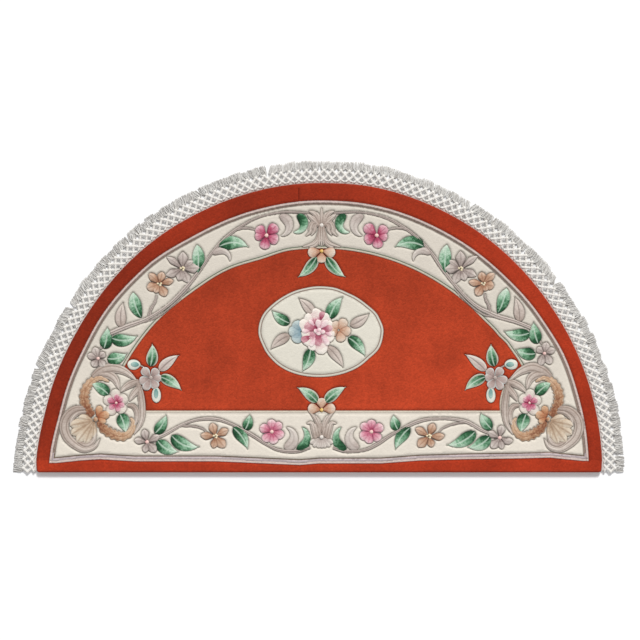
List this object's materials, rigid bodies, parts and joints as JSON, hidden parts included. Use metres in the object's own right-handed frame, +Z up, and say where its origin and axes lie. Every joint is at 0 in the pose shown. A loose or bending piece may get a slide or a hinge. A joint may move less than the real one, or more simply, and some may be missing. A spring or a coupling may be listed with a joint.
{
  "type": "half-moon carved wool rug",
  "caption": "Half-moon hearth rug of thick carved wool pile with floral scrolls, an oval medallion and a knotted net fringe round its arc.",
  "frame": {"origin": "on the floor, under the centre of the rug with its fringe", "axes": "+X along the straight edge, +Y from the straight edge to the crown of the arc, +Z up out of the pile"},
  "size_m": [1.4939, 0.7622, 0.015],
  "materials": {
    "wool_pile": "dense cut wool pile, matt, terracotta red with cream, green, rose and lavender motifs",
    "cotton_fringe": "twisted natural cotton yarn, matt, off-white"
  },
  "bodies": {
    "root": {"pile_rug": "wool_pile", "net_fringe": "cotton_fringe"}
  },
  "joints": []
}
